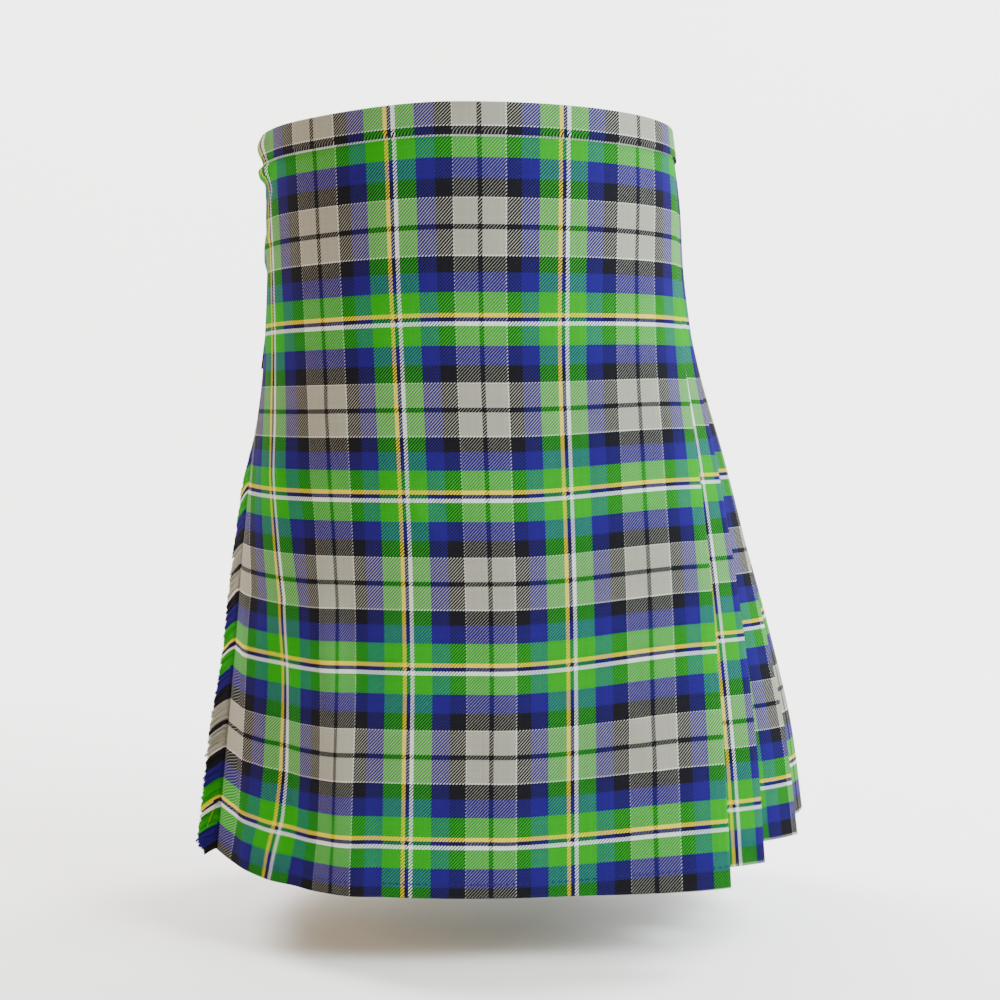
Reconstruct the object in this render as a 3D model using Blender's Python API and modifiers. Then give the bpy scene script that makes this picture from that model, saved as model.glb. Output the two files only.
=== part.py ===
"""A Scottish kilt in its worn, filled-out shape, open at the waist and at the hem.

The cloth hangs from a waist ring and flares to the hem. A flat over apron crosses the front, a hidden under
apron lies behind it, and knife pleats go round the sides and the back. All sizes are in millimetres until a
point is placed. The origin is the middle of the waist, half way up the waistband. Depths are measured down
from the top edge, and lengths round the kilt run from the middle of the front, first to +X, then to the back.
"""
import math
import random

import bmesh
import bpy
import numpy as np

MILLIMETRE = 0.001

# Sizes of the whole garment
KILT_LENGTH = 610.0
TOP_HEIGHT = 12.0
FRONT_REACH = 118.0
LEFT_HEM_RISE = 12.0
LEFT_RISE_START = -120.0
LEFT_RISE_SPAN = 140.0
TOP_DIP = 5.5
TOP_DIP_START = -15.0
TOP_DIP_SPAN = 130.0
TOP_DIP_DEPTH = 280.0

# The plan outline of the kilt at nine depths, and where the over apron's stripes fall on it
SECTION_COLUMNS = ("depth", "left", "right", "middle", "back",
                   "square_left", "square_right", "stripe", "repeat")
SECTIONS = (
    (0.0, 168.5, 167.0, 0.0, 118.0, 2.05, 2.05, -64.5, 135.0),
    (60.0, 168.5, 174.5, 0.0, 119.0, 2.06, 2.08, -62.5, 133.0),
    (125.0, 167.5, 178.5, 1.0, 124.0, 2.08, 2.12, -60.5, 130.0),
    (200.0, 172.0, 191.0, 5.0, 133.0, 2.12, 2.18, -57.0, 126.5),
    (280.0, 182.0, 213.5, 12.0, 142.0, 2.17, 2.24, -53.5, 125.5),
    (360.0, 191.0, 235.0, 20.0, 148.0, 2.22, 2.27, -50.5, 125.0),
    (440.0, 200.0, 256.0, 30.0, 154.0, 2.26, 2.27, -49.0, 124.7),
    (525.0, 211.0, 275.5, 39.0, 160.0, 2.28, 2.22, -50.0, 125.9),
    (610.0, 222.0, 287.5, 47.0, 165.0, 2.30, 2.15, -51.0, 127.3),
)

# The depths of the rows of points down every cloth panel, from just under the waistband's top to the hem
CLOTH_ROWS = (1.6, 26.0, 60.0, 105.0, 155.0, 215.0, 275.0, 335.0, 395.0, 450.0, 505.0, 558.0, 610.0)

# The cloth and how its panels lie on each other
APRON_WALL = 1.5
PLEAT_WALL = 1.2
SEAM_GAP = 0.35
TARTAN_REPEAT = 128.0
APRON_LEFT_EDGE = -189.0
APRON_RIGHT_EDGE = 253.0
APRON_OUTSET = 5.0
OUTSET_FADE = (40.0, 210.0)
APRON_FLARE = 19.0
FLARE_START = 100.0
APRON_STEPS = 22
UNDER_APRON_INSET = 4.2
UNDER_APRON_SETTLES = 90.0
UNDER_APRON_END = 130.0
UNDER_APRON_STEPS = 16
COVERED_BY_APRON = 35.0

# The knife pleats
PLEAT_COUNT = 22
JOINED_LENGTHS_AT = 11
PRESSED_PITCH = 1.7
HEM_PITCH = 2.5
PLEAT_HEM_RISES = (7.0, 19.0, 28.0, 24.0)
PLEAT_SPREADS = (1.25, 1.3, 1.25, 1.15, 1.08)
SEWN_DEPTH = 215.0
SPREAD_EASE = 0.72
INNER_FOLD_WIDTH = 56.0
HEM_OPENINGS_NEAR_APRON = (6.0, 8.0, 15.0, 14.0, 11.0)
HEM_OPENING = 7.5
HEM_OPENING_CHANGE = 2.0

# The waistband strip, turned over the top edge
BAND_WALL = 1.2
BAND_DEPTH = 23.5
BAND_COVER = 10.9
BAND_GAP = 0.7

# The frayed left edge of the over apron
FRINGE_STRIP_WIDTH = 3.0
FRINGE_WALL = 1.4
STRAND_COUNT = 100
STRAND_SHARE = 0.62
STRAND_LENGTH = 21.0
STRAND_SPREADS = (0.08, 0.72)
STRAND_SPREAD_DEPTHS = (260.0, 430.0)
STRAND_DROOP = 0.56
STRAND_TAPER = 0.12

# Straps and buckles
STRAP_WIDTH = 25.0
STRAP_WALL = 1.8
STRAP_LIFT = 1.2
STRAP_HOLE_WIDTH = 4.0
TAB_WALL = 1.6
TAB_WIDTH = 22.0
WIRE_RADIUS = 1.3
TONGUE_RADIUS = 1.0
UPPER_STRAP_DEPTH = 46.0
LOWER_STRAP_DEPTH = 185.0
SLIT_PLACE = 52.0

# Soft folds that stand out from the over apron: ends across and down the cloth, half width and height
FOLD_COLUMNS = ("across_1", "down_1", "across_2", "down_2", "half_width", "height")
FOLDS = (
    (-78.0, 330.0, -36.0, 640.0, 30.0, 4.0),
    (-148.0, 56.0, -118.0, 60.0, 9.0, 3.0),
    (-160.0, 112.0, -126.0, 84.0, 9.0, 2.4),
    (-146.0, 28.0, -122.0, 44.0, 8.0, -1.4),
)


def clear_scene():
    for thing in list(bpy.data.objects):
        bpy.data.objects.remove(thing, do_unlink=True)


def ease(amount):
    """Rises smoothly from 0 to 1 while the amount goes from 0 to 1."""
    amount = min(max(amount, 0.0), 1.0)
    return amount * amount * (3.0 - 2.0 * amount)


def between(amount, ends):
    """Rises smoothly from 0 to 1 while the amount goes from one end to the other."""
    return ease((amount - ends[0]) / (ends[1] - ends[0]))


def section_value(depth, column):
    """One column of the section table at any depth, on a smooth curve through its rows."""
    table = np.array(SECTIONS)
    depths = table[:, 0]
    values = table[:, SECTION_COLUMNS.index(column)]
    slopes = np.gradient(values, depths)
    row = int(np.clip(np.searchsorted(depths, depth) - 1, 0, len(depths) - 2))
    span = depths[row + 1] - depths[row]
    t = (depth - depths[row]) / span
    start = (1 + 2 * t) * (1 - t) ** 2 * values[row] + t * (1 - t) ** 2 * span * slopes[row]
    end = t * t * (3 - 2 * t) * values[row + 1] + t * t * (t - 1) * span * slopes[row + 1]
    return float(start + end)


class Section:
    """The plan outline at one depth, read by the length round it from the middle of the front."""

    SAMPLES = 1440

    def __init__(self, depth):
        self.depth = depth
        left, right, middle, back, square_left, square_right, self.stripe, self.repeat = (
            section_value(depth, column) for column in SECTION_COLUMNS[1:])
        turn = np.linspace(-math.pi / 2, 3 * math.pi / 2, self.SAMPLES + 1)
        across, along = np.cos(turn), np.sin(turn)
        half_width = np.where(across >= 0, right, left)
        half_depth = np.where(along >= 0, back, middle + FRONT_REACH)
        power = 2 / np.where(across >= 0, square_right, square_left)
        self.x = half_width * np.sign(across) * np.abs(across) ** power
        self.y = middle + half_depth * np.sign(along) * np.abs(along) ** power
        steps = np.hypot(np.diff(self.x), np.diff(self.y))
        self.lengths = np.concatenate(([0.0], np.cumsum(steps)))
        self.round = float(self.lengths[-1])

    def on_outline(self, length):
        length = length % self.round
        return np.array((np.interp(length, self.lengths, self.x), np.interp(length, self.lengths, self.y)))

    def outward(self, length):
        step = self.on_outline(length + 3.0) - self.on_outline(length - 3.0)
        step /= np.hypot(*step)
        return np.array((step[1], -step[0]))

    def point(self, length, inset):
        """The plan point at a length round the outline, moved in by the inset."""
        return self.on_outline(length) - inset * self.outward(length)

    def apron_length(self, across):
        """The length round the outline of a point that lies this far across the over apron's cloth."""
        return self.stripe + across * self.repeat / TARTAN_REPEAT

    def pleat_edge(self, number):
        """The length of a pleat's outer fold. Number 0 is the over apron's right edge."""
        first = self.apron_length(APRON_RIGHT_EDGE)
        last = self.round + self.apron_length(APRON_LEFT_EDGE) + COVERED_BY_APRON
        widths = np.ones(PLEAT_COUNT)
        widths[:len(PLEAT_SPREADS)] += (np.array(PLEAT_SPREADS) - 1.0) * freedom(self.depth)
        ends = np.concatenate(([0.0], np.cumsum(widths))) / widths.sum()
        outside = (last - first) / PLEAT_COUNT * (min(number, 0) + max(number - PLEAT_COUNT, 0))
        return first + (last - first) * float(np.interp(number, range(PLEAT_COUNT + 1), ends)) + outside


def placed(plan, depth, rise=0.0):
    """A point at a depth below the top edge, which dips on the left. Its hem may rise."""
    dip = TOP_DIP * ease((TOP_DIP_START - plan[0]) / TOP_DIP_SPAN) * max(0.0, 1.0 - depth / TOP_DIP_DEPTH)
    return (float(plan[0]), float(plan[1]), TOP_HEIGHT - depth - dip + rise * (depth / KILT_LENGTH) ** 2)


def apron_rise(length):
    """How far the aprons' hem rises towards the left, where lengths from the front's middle are negative."""
    return LEFT_HEM_RISE * ease((LEFT_RISE_START - length) / LEFT_RISE_SPAN)


def pleat_rise(number):
    """How far a pleat's hem rises. Spread pleats lean outwards, so their hems lie higher than the apron's."""
    known = (0.0, 1.0, 2.0, 3.0, 12.0, PLEAT_COUNT + 1.0)
    return float(np.interp(number, known, (0.0, *PLEAT_HEM_RISES, LEFT_HEM_RISE)))


def fold_height(across, down):
    """How far the soft folds lift the over apron's cloth at one point."""
    lift = 0.0
    for row in FOLDS:
        fold = dict(zip(FOLD_COLUMNS, row))
        start = np.array((fold["across_1"], fold["down_1"]))
        way = np.array((fold["across_2"], fold["down_2"])) - start
        offset = np.array((across, down)) - start
        along = float(offset @ way / (way @ way))
        nearest = offset - way * min(max(along, 0.0), 1.0)
        side = math.hypot(*nearest) / fold["half_width"]
        strength = ease(1.0 - side) * ease(min(along, 1.0 - along) * 4.0 + 0.25)
        lift += fold["height"] * strength
    return lift


def freedom(depth):
    """0 where the pleats are sewn flat, rising to 1 at the hem."""
    return ease((depth - SEWN_DEPTH) / (KILT_LENGTH - SEWN_DEPTH) * SPREAD_EASE) / ease(SPREAD_EASE)


def over_apron_inset(across, down):
    """The over apron lies outside the other layers on the left. Its free right corner stands out."""
    outset = APRON_OUTSET * (1.0 - between(across, OUTSET_FADE))
    corner = (across - FLARE_START) / (APRON_RIGHT_EDGE - FLARE_START)
    flare = APRON_FLARE * freedom(down) * ease(corner * SPREAD_EASE) / ease(SPREAD_EASE)
    return -outset - flare - fold_height(across, down)


def opening(number, depth):
    """The space between one pleat and the next under it: sewn flat above, and spread at the hem."""
    if number + 1 < len(HEM_OPENINGS_NEAR_APRON):
        at_hem = HEM_OPENINGS_NEAR_APRON[max(number + 1, 0)]
    else:
        at_hem = HEM_OPENING + HEM_OPENING_CHANGE * math.sin(1.9 * number)
    return PRESSED_PITCH + (at_hem - PRESSED_PITCH) * freedom(depth)


def layer_inset(section, number, layer):
    """The inset, at a pleat's outer fold, of that fold's own cloth and of the layers below it."""
    pressed = PRESSED_PITCH + (HEM_PITCH - PRESSED_PITCH) * freedom(section.depth)
    spread = opening(number, section.depth)
    insets = (0.0, pressed, pressed + spread, 2 * pressed + spread, 3 * pressed + spread,
              3 * pressed + 2 * spread, 4 * pressed + 2 * spread)
    if number == 0 and layer < 2:
        return insets[layer] + over_apron_inset(APRON_RIGHT_EDGE, section.depth)
    return insets[layer]


def layer_point(section, number, layer):
    """A point of a layer at a pleat's outer fold. Each two layers further in belong to the pleat after."""
    plan = section.point(section.pleat_edge(number), layer_inset(section, number, layer))
    return placed(plan, section.depth, pleat_rise(number + layer // 2))


def inner_fold(section, number, turned):
    """A pleat's inner fold, before or after the cloth turns. It lies between the last two outer folds."""
    reveal = section.pleat_edge(number) - section.pleat_edge(number - 1)
    share = min(max((INNER_FOLD_WIDTH - reveal) / reveal, 0.2), 0.9)
    near = np.array(layer_point(section, number - 1, 4 if turned else 3))
    far = np.array(layer_point(section, number - 2, 6 if turned else 5))
    fold = near + (far - near) * share
    return placed(fold, section.depth, pleat_rise(number + 0.5))


def pleat_under_face(section, number):
    """The cloth of one pleat from its outer fold back to its inner fold."""
    return [layer_point(section, number, 1), layer_point(section, number - 1, 3),
            inner_fold(section, number, False)]


def pleat_top_face(section, number):
    """The cloth from the inner fold of the pleat before up to this pleat's outer fold."""
    return [inner_fold(section, number - 1, True), layer_point(section, number - 2, 4),
            layer_point(section, number - 1, 2), layer_point(section, number, 0)]


def material(name, colour, roughness, metallic=0.0):
    made = bpy.data.materials.new(name)
    made.use_nodes = True
    shader = made.node_tree.nodes["Principled BSDF"]
    shader.inputs["Base Color"].default_value = (*colour, 1.0)
    shader.inputs["Roughness"].default_value = roughness
    shader.inputs["Metallic"].default_value = metallic
    return made


def add_object(name, mesh, collection, finish):
    made = bpy.data.objects.new(name, mesh)
    made.data.materials.append(finish)
    collection.objects.link(made)
    return made


def goes_back(start, end):
    """Whether a step runs clockwise round the kilt. Cells are halved alike, so layers stay parallel."""
    return start.x * (end.y - start.y) - start.y * (end.x - start.x) < 0.0


def sheet(name, rows, wall, collection, finish, holes=()):
    """A wall of cloth or leather: an open grid through rows of points, thickened both ways from it."""
    points = np.array(rows) * MILLIMETRE
    down, across = points.shape[:2]
    mesh = bmesh.new()
    grid = [[mesh.verts.new(points[i, j]) for j in range(across)] for i in range(down)]
    for i in range(down - 1):
        for j in range(across - 1):
            if (i, j) in holes:
                continue
            top, low = grid[i][j], grid[i + 1][j]
            next_top, next_low = grid[i][j + 1], grid[i + 1][j + 1]
            if goes_back(top.co, next_top.co):
                mesh.faces.new((top, low, next_top))
                mesh.faces.new((low, next_low, next_top))
            else:
                mesh.faces.new((top, low, next_low))
                mesh.faces.new((top, next_low, next_top))
    data = bpy.data.meshes.new(name)
    mesh.to_mesh(data)
    mesh.free()
    made = add_object(name, data, collection, finish)
    thicken(made, wall)
    return made


def thicken(made, wall):
    solidify = made.modifiers.new("wall", "SOLIDIFY")
    solidify.thickness = wall * MILLIMETRE
    solidify.offset = 0.0
    solidify.use_even_offset = True


def build_over_apron(collection, cloth):
    """The front panel. Its right edge is folded under, as the first of the pleats."""
    rows = []
    for depth in CLOTH_ROWS:
        section = Section(depth)
        row = []
        for across in np.linspace(APRON_LEFT_EDGE, APRON_RIGHT_EDGE, APRON_STEPS + 1):
            length = section.apron_length(across)
            plan = section.point(length, over_apron_inset(across, depth))
            row.append(placed(plan, depth, apron_rise(length)))
        rows.append(row + pleat_under_face(section, 0))
    sheet("over_apron", rows, APRON_WALL, collection, cloth)


def build_pleats(collection, cloth):
    """The knife pleats, in two lengths of cloth that are joined inside one pleat at the back."""
    lengths = {"pleats_right": (1, JOINED_LENGTHS_AT), "pleats_left": (JOINED_LENGTHS_AT + 1, PLEAT_COUNT)}
    for name, (first, last) in lengths.items():
        rows = []
        for depth in CLOTH_ROWS:
            section = Section(depth)
            row = []
            for number in range(first, last + 1):
                row += pleat_top_face(section, number) + pleat_under_face(section, number)
            rows.append(row)
        sheet(name, rows, PLEAT_WALL, collection, cloth)


def under_apron_path(section, first_length):
    """Lengths and insets along the under apron, from the last pleat's fold to its hidden end."""
    start_inset = layer_inset(section, PLEAT_COUNT, 2)
    for length in np.linspace(first_length, UNDER_APRON_END, UNDER_APRON_STEPS + 1):
        share = ease((length - first_length) / UNDER_APRON_SETTLES)
        yield length, start_inset + (UNDER_APRON_INSET - start_inset) * share


def build_under_apron(collection, cloth):
    """The hidden front panel, which goes on from the last pleat behind the over apron."""
    rows = []
    for depth in CLOTH_ROWS:
        section = Section(depth)
        row = pleat_top_face(section, PLEAT_COUNT + 1)[:2]
        for length, inset in under_apron_path(section, section.pleat_edge(PLEAT_COUNT) - section.round):
            row.append(placed(section.point(length, inset), depth, apron_rise(length)))
        rows.append(row)
    sheet("under_apron", rows, PLEAT_WALL, collection, cloth)


def band_rows(path):
    """Three rows of a waistband: its foot, its top edge and the edge of its turned-in top."""
    drops = (BAND_DEPTH, BAND_WALL / 2, BAND_WALL / 2)
    rows = []
    for drop, row in zip(drops, range(3)):
        section = Section(drop)
        line = []
        for length, outer, inner in path(section):
            inset = inner if row == 2 else outer
            line.append(placed(section.point(length, inset), drop))
        rows.append(line)
    return rows


def waistband_path(section):
    """Lengths and insets of the waistband over the over apron and round the pleats."""
    off_apron = APRON_WALL / 2 + BAND_GAP + BAND_WALL / 2
    off_pleats = PLEAT_WALL / 2 + BAND_GAP + BAND_WALL / 2
    folded_under = section.apron_length(APRON_RIGHT_EDGE) - INNER_FOLD_WIDTH
    for across in np.linspace(APRON_LEFT_EDGE, APRON_RIGHT_EDGE, APRON_STEPS + 1):
        length = section.apron_length(across)
        inset = over_apron_inset(across, section.depth)
        inner = inset + APRON_WALL / 2 if length < folded_under else BAND_COVER
        yield length, inset - off_apron, inner
    for number in range(1, PLEAT_COUNT + 1):
        yield section.pleat_edge(number), -off_pleats, BAND_COVER
    yield section.pleat_edge(PLEAT_COUNT) + 1.6, -off_pleats, BAND_COVER


def under_waistband_path(section):
    """Lengths and insets of the waistband on the under apron."""
    off_cloth = PLEAT_WALL / 2 + BAND_GAP + BAND_WALL / 2
    first = section.pleat_edge(PLEAT_COUNT) - section.round
    for length, inset in under_apron_path(section, first):
        if length == first:
            length = first + 4.0
        yield length, inset - off_cloth, inset + PLEAT_WALL / 2


def build_waistbands(collection, cloth):
    sheet("waistband", band_rows(waistband_path), BAND_WALL, collection, cloth)
    sheet("under_waistband", band_rows(under_waistband_path), BAND_WALL, collection, cloth)


def under_a_strap(depth):
    """Whether a strand at this depth would lie under a strap, where the fringe is left out."""
    above = STRAP_WIDTH / 2 + STRAND_LENGTH * STRAND_DROOP + 6.0
    below = STRAP_WIDTH / 2 + 4.0
    return any(-above < depth - strap < below for strap in (UPPER_STRAP_DEPTH, LOWER_STRAP_DEPTH))


def fringe_line(depth):
    """The three points across the fringe at one depth that do not depend on the strand."""
    section = Section(depth)
    length = section.apron_length(APRON_LEFT_EDGE)
    inset = over_apron_inset(APRON_LEFT_EDGE, depth)
    outward = section.outward(length)
    onward = np.array((outward[1], -outward[0]))
    edge = section.point(length, inset)
    root = edge + onward * SEAM_GAP
    strip = edge + onward * (SEAM_GAP + FRINGE_STRIP_WIDTH)
    rise = apron_rise(length)
    above, below = STRAND_SPREADS
    spread = above + (below - above) * between(depth, STRAND_SPREAD_DEPTHS)
    way = onward * math.sqrt(1.0 - spread * spread) + outward * spread
    return placed(root, depth, rise), placed(strip, depth, rise), np.array((way[0], way[1], 0.0))


def build_fringe(collection, cloth):
    """Frayed weft ends, fused at their roots into a narrow strip beside the over apron's edge."""
    chance = random.Random(5)
    first, last = BAND_DEPTH + 2.0, KILT_LENGTH - 1.0
    pitch = (last - first) / STRAND_COUNT
    mesh = bmesh.new()

    def corner(position):
        return mesh.verts.new(np.array(position) * MILLIMETRE)

    root, strip, _ = fringe_line(first)
    upper = (corner(root), corner(strip))
    for number in range(STRAND_COUNT):
        top = first + number * pitch
        for share, hangs in ((STRAND_SHARE, True), (1.0, False)):
            low = top + pitch * share
            root, strip, way = fringe_line(low)
            lower = (corner(root), corner(strip))
            mesh.faces.new((upper[0], lower[0], lower[1], upper[1]))
            if hangs and not under_a_strap(low):
                length = STRAND_LENGTH * chance.uniform(0.82, 1.08)
                droop = STRAND_DROOP * chance.uniform(0.9, 1.1)
                step = way * length + np.array((0.0, 0.0, -length * droop))
                squeeze = np.array((0.0, 0.0, STRAND_TAPER * pitch * STRAND_SHARE))
                tip_top = corner(np.array(upper[1].co) / MILLIMETRE + step - squeeze)
                tip_low = corner(np.array(lower[1].co) / MILLIMETRE + step + squeeze)
                mesh.faces.new((upper[1], lower[1], tip_low, tip_top))
            upper = lower
    data = bpy.data.meshes.new("apron_fringe")
    mesh.to_mesh(data)
    mesh.free()
    thicken(add_object("apron_fringe", data, collection, cloth), FRINGE_WALL)


class Closure:
    """One strap with its buckle. Places along it are measured from the over apron's edge or the slit."""

    FRONT_BAR = 38.0
    HEEL_BAR = 56.0
    FRAME_HALF_HEIGHT = 15.6
    TAB_START = 58.6
    TAB_END = 94.0
    LIFT = PLEAT_WALL / 2 + STRAP_LIFT
    ON_APRON = (-9.0, -4.5)
    ON_PLEATS = (0.0, 8.0, 20.0, 29.0, 38.0, 42.0, 45.5, 49.0, 53.0, 56.5, 60.0, 68.0, 78.0, 88.0)
    HOLE = (45.5, 49.0)
    LIFT_STATIONS = (8.0, 20.0, 44.0, 52.5, 60.0, 68.0)
    FRAME_CORNER = 3.0

    def __init__(self, name, depth, start, direction, from_apron):
        self.name = name
        self.depth = depth
        self.start = start
        self.direction = direction
        self.from_apron = from_apron

    def point(self, along, drop, lift):
        """A point on the strap's line: its place along it, below its middle, and off the pleats' cloth."""
        section = Section(self.depth + drop)
        length = self.start(section) + self.direction * along
        return placed(section.point(length, -self.LIFT - lift), self.depth + drop)

    def strap_lift(self, along):
        """How far the strap's middle lies off the pleats: under the front bar, then over the heel bar."""
        half = STRAP_WALL / 2
        over_heel = 2 * WIRE_RADIUS + 0.3 + half
        over_tab = TAB_WALL + 0.35 + half
        on_apron = APRON_OUTSET + APRON_WALL / 2 + STRAP_LIFT - self.LIFT + half
        lifts = (on_apron if self.from_apron else half, half, half, over_heel, over_heel, over_tab)
        return float(np.interp(along, self.LIFT_STATIONS, lifts))

    def build(self, collection, leather, metal):
        stations = (self.ON_APRON if self.from_apron else ()) + self.ON_PLEATS
        drops = (-STRAP_WIDTH / 2, -STRAP_HOLE_WIDTH / 2, STRAP_HOLE_WIDTH / 2, STRAP_WIDTH / 2)
        rows = [[self.point(s, drop, self.strap_lift(s)) for s in stations] for drop in drops]
        tongue_hole = [(1, stations.index(place)) for place in self.HOLE]
        sheet(f"strap_{self.name}", rows, STRAP_WALL, collection, leather, tongue_hole)

        tab_stations = np.linspace(self.TAB_START, self.TAB_END, 5)
        edges = (-TAB_WIDTH / 2, TAB_WIDTH / 2)
        tab = [[self.point(s, drop, TAB_WALL / 2) for s in tab_stations] for drop in edges]
        sheet(f"tab_{self.name}", tab, TAB_WALL, collection, leather)

        wire(f"buckle_{self.name}", self.frame_points(), WIRE_RADIUS, True, collection, metal)
        wire(f"tongue_{self.name}", self.tongue_points(), TONGUE_RADIUS, False, collection, metal)

    def frame_lift(self, along):
        share = (along - self.FRONT_BAR) / (self.HEEL_BAR - self.FRONT_BAR)
        over_strap = STRAP_WALL + 0.3 + WIRE_RADIUS
        return over_strap + (WIRE_RADIUS - over_strap) * share

    def frame_points(self):
        """The rectangular frame with rounded corners, and a point in the middle of each side."""
        centre = (self.FRONT_BAR + self.HEEL_BAR) / 2
        half_length = (self.HEEL_BAR - self.FRONT_BAR) / 2 - self.FRAME_CORNER
        half_height = self.FRAME_HALF_HEIGHT - self.FRAME_CORNER
        places = []
        for quarter, (side, up) in enumerate(((1, 1), (-1, 1), (-1, -1), (1, -1))):
            for step in range(3):
                turn = math.radians(90 * quarter + 45 * step)
                places.append((centre + side * half_length + self.FRAME_CORNER * math.cos(turn),
                               up * half_height + self.FRAME_CORNER * math.sin(turn)))
            if quarter % 2 == 0:
                places.append((centre, up * self.FRAME_HALF_HEIGHT))
            else:
                places.append((centre + side * (half_length + self.FRAME_CORNER), 0.0))
        return [self.point(along, drop, self.frame_lift(along)) for along, drop in places]

    def tongue_points(self):
        """The tongue, from beside the heel bar up through the strap's hole to the top of the front bar."""
        bar_top = self.frame_lift(self.FRONT_BAR) + WIRE_RADIUS
        ends = ((self.HEEL_BAR - 2.8, 1.7), (self.FRONT_BAR + 3.0, bar_top + TONGUE_RADIUS + 0.2),
                (self.FRONT_BAR - 2.5, bar_top + TONGUE_RADIUS + 0.3))
        return [self.point(along, 0.0, lift) for along, lift in ends]


def wire(name, points, radius, closed, collection, metal):
    """A bent metal wire through the points."""
    curve = bpy.data.curves.new(name + "_line", "CURVE")
    curve.dimensions = "3D"
    curve.bevel_depth = radius * MILLIMETRE
    curve.bevel_resolution = 2
    curve.use_fill_caps = not closed
    spline = curve.splines.new("POLY")
    spline.points.add(len(points) - 1)
    for place, point in zip(spline.points, points):
        place.co = (*[value * MILLIMETRE for value in point], 1.0)
    spline.use_cyclic_u = closed
    line = bpy.data.objects.new(name + "_line", curve)
    collection.objects.link(line)
    bpy.context.view_layer.update()
    mesh = bpy.data.meshes.new_from_object(line.evaluated_get(bpy.context.evaluated_depsgraph_get()))
    welded = bmesh.new()
    welded.from_mesh(mesh)
    bmesh.ops.remove_doubles(welded, verts=welded.verts, dist=1e-6)
    bmesh.ops.recalc_face_normals(welded, faces=welded.faces)
    welded.to_mesh(mesh)
    welded.free()
    bpy.data.objects.remove(line, do_unlink=True)
    mesh.materials.clear()
    mesh.shade_smooth()
    add_object(name, mesh, collection, metal)


def build_closures(collection, leather, metal):
    """Two straps close the over apron on its left edge, and one, through a slit, closes the under apron."""

    def apron_edge(section):
        return section.apron_length(APRON_LEFT_EDGE)

    def slit(section):
        return section.pleat_edge(0) + SLIT_PLACE

    closures = (
        Closure("upper", UPPER_STRAP_DEPTH, apron_edge, -1.0, True),
        Closure("lower", LOWER_STRAP_DEPTH, apron_edge, -1.0, True),
        Closure("under", UPPER_STRAP_DEPTH, slit, 1.0, False),
    )
    for closure in closures:
        closure.build(collection, leather, metal)


def build_kilt():
    clear_scene()
    collection = bpy.data.collections.new("scottish_kilt")
    bpy.context.scene.collection.children.link(collection)
    tartan = material("tartan_cloth", (0.10, 0.22, 0.16), 0.9)
    leather = material("black_leather", (0.02, 0.02, 0.02), 0.45)
    metal = material("buckle_metal", (0.75, 0.75, 0.76), 0.25, 1.0)
    build_over_apron(collection, tartan)
    build_pleats(collection, tartan)
    build_under_apron(collection, tartan)
    build_waistbands(collection, tartan)
    build_fringe(collection, tartan)
    build_closures(collection, leather, metal)


build_kilt()
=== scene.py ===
"""The looks of a Scottish kilt in its worn shape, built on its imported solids. Lengths are in millimetres
until a point is placed, and the frame is the solids' own: +Z up, -Y to the front, the waist at the origin."""
import math
import random

import bmesh
import bpy
import numpy as np
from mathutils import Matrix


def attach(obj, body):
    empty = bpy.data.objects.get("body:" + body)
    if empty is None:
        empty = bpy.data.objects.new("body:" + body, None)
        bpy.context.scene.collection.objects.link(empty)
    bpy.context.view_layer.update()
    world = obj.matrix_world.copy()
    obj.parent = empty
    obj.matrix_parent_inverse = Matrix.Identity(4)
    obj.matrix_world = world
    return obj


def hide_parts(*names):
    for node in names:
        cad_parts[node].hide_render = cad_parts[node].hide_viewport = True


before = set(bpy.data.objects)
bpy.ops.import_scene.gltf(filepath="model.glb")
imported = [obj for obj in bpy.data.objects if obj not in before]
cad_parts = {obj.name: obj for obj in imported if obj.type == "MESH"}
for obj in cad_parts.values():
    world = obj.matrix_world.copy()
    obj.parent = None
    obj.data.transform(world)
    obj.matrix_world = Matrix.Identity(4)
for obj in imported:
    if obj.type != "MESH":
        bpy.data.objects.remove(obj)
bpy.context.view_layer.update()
bpy.ops.object.select_all(action="DESELECT")

# Over apron
# The flat front panel of wool twill. Its left edge is frayed, its right edge is folded under as the first
# pleat, and its hem is turned up and stitched. The waist and hip shape it, so its plan is read from a table.
MM = 0.001
KILT_LENGTH = 610.0
TOP_HEIGHT = 12.0
FRONT_REACH = 118.0
OUTLINE_STEPS = 1440
OUTWARD_STEP = 3.0
GIRTH_COLUMNS = ("depth", "left", "right", "middle", "back",
                 "square_left", "square_right", "stripe", "repeat")
GIRTHS = (
    (0.0, 168.5, 167.0, 0.0, 118.0, 2.05, 2.05, -64.5, 135.0),
    (60.0, 168.5, 174.5, 0.0, 119.0, 2.06, 2.08, -62.5, 133.0),
    (125.0, 167.5, 178.5, 1.0, 124.0, 2.08, 2.12, -60.5, 130.0),
    (200.0, 172.0, 191.0, 5.0, 133.0, 2.12, 2.18, -57.0, 126.5),
    (280.0, 182.0, 213.5, 12.0, 142.0, 2.17, 2.24, -53.5, 125.5),
    (360.0, 191.0, 235.0, 20.0, 148.0, 2.22, 2.27, -50.5, 125.0),
    (440.0, 200.0, 256.0, 30.0, 154.0, 2.26, 2.27, -49.0, 124.7),
    (525.0, 211.0, 275.5, 39.0, 160.0, 2.28, 2.22, -50.0, 125.9),
    (610.0, 222.0, 287.5, 47.0, 165.0, 2.30, 2.15, -51.0, 127.3),
)
REPEAT = 128.0
CLOTH_WALL = 0.9
APRON_LEFT_EDGE = -189.0
APRON_RIGHT_EDGE = 253.0
APRON_OUTSET = 5.0
OUTSET_FADE = (40.0, 210.0)
APRON_FLARE = 19.0
FLARE_START = 100.0
SEWN_DEPTH = 215.0
SPREAD_EASE = 0.72
COVERED_BY_APRON = 35.0
LEFT_HEM_RISE = 12.0
LEFT_RISE = (-120.0, -260.0)
TOP_DIP = 5.5
DIP_SPAN = (-15.0, -145.0)
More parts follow.
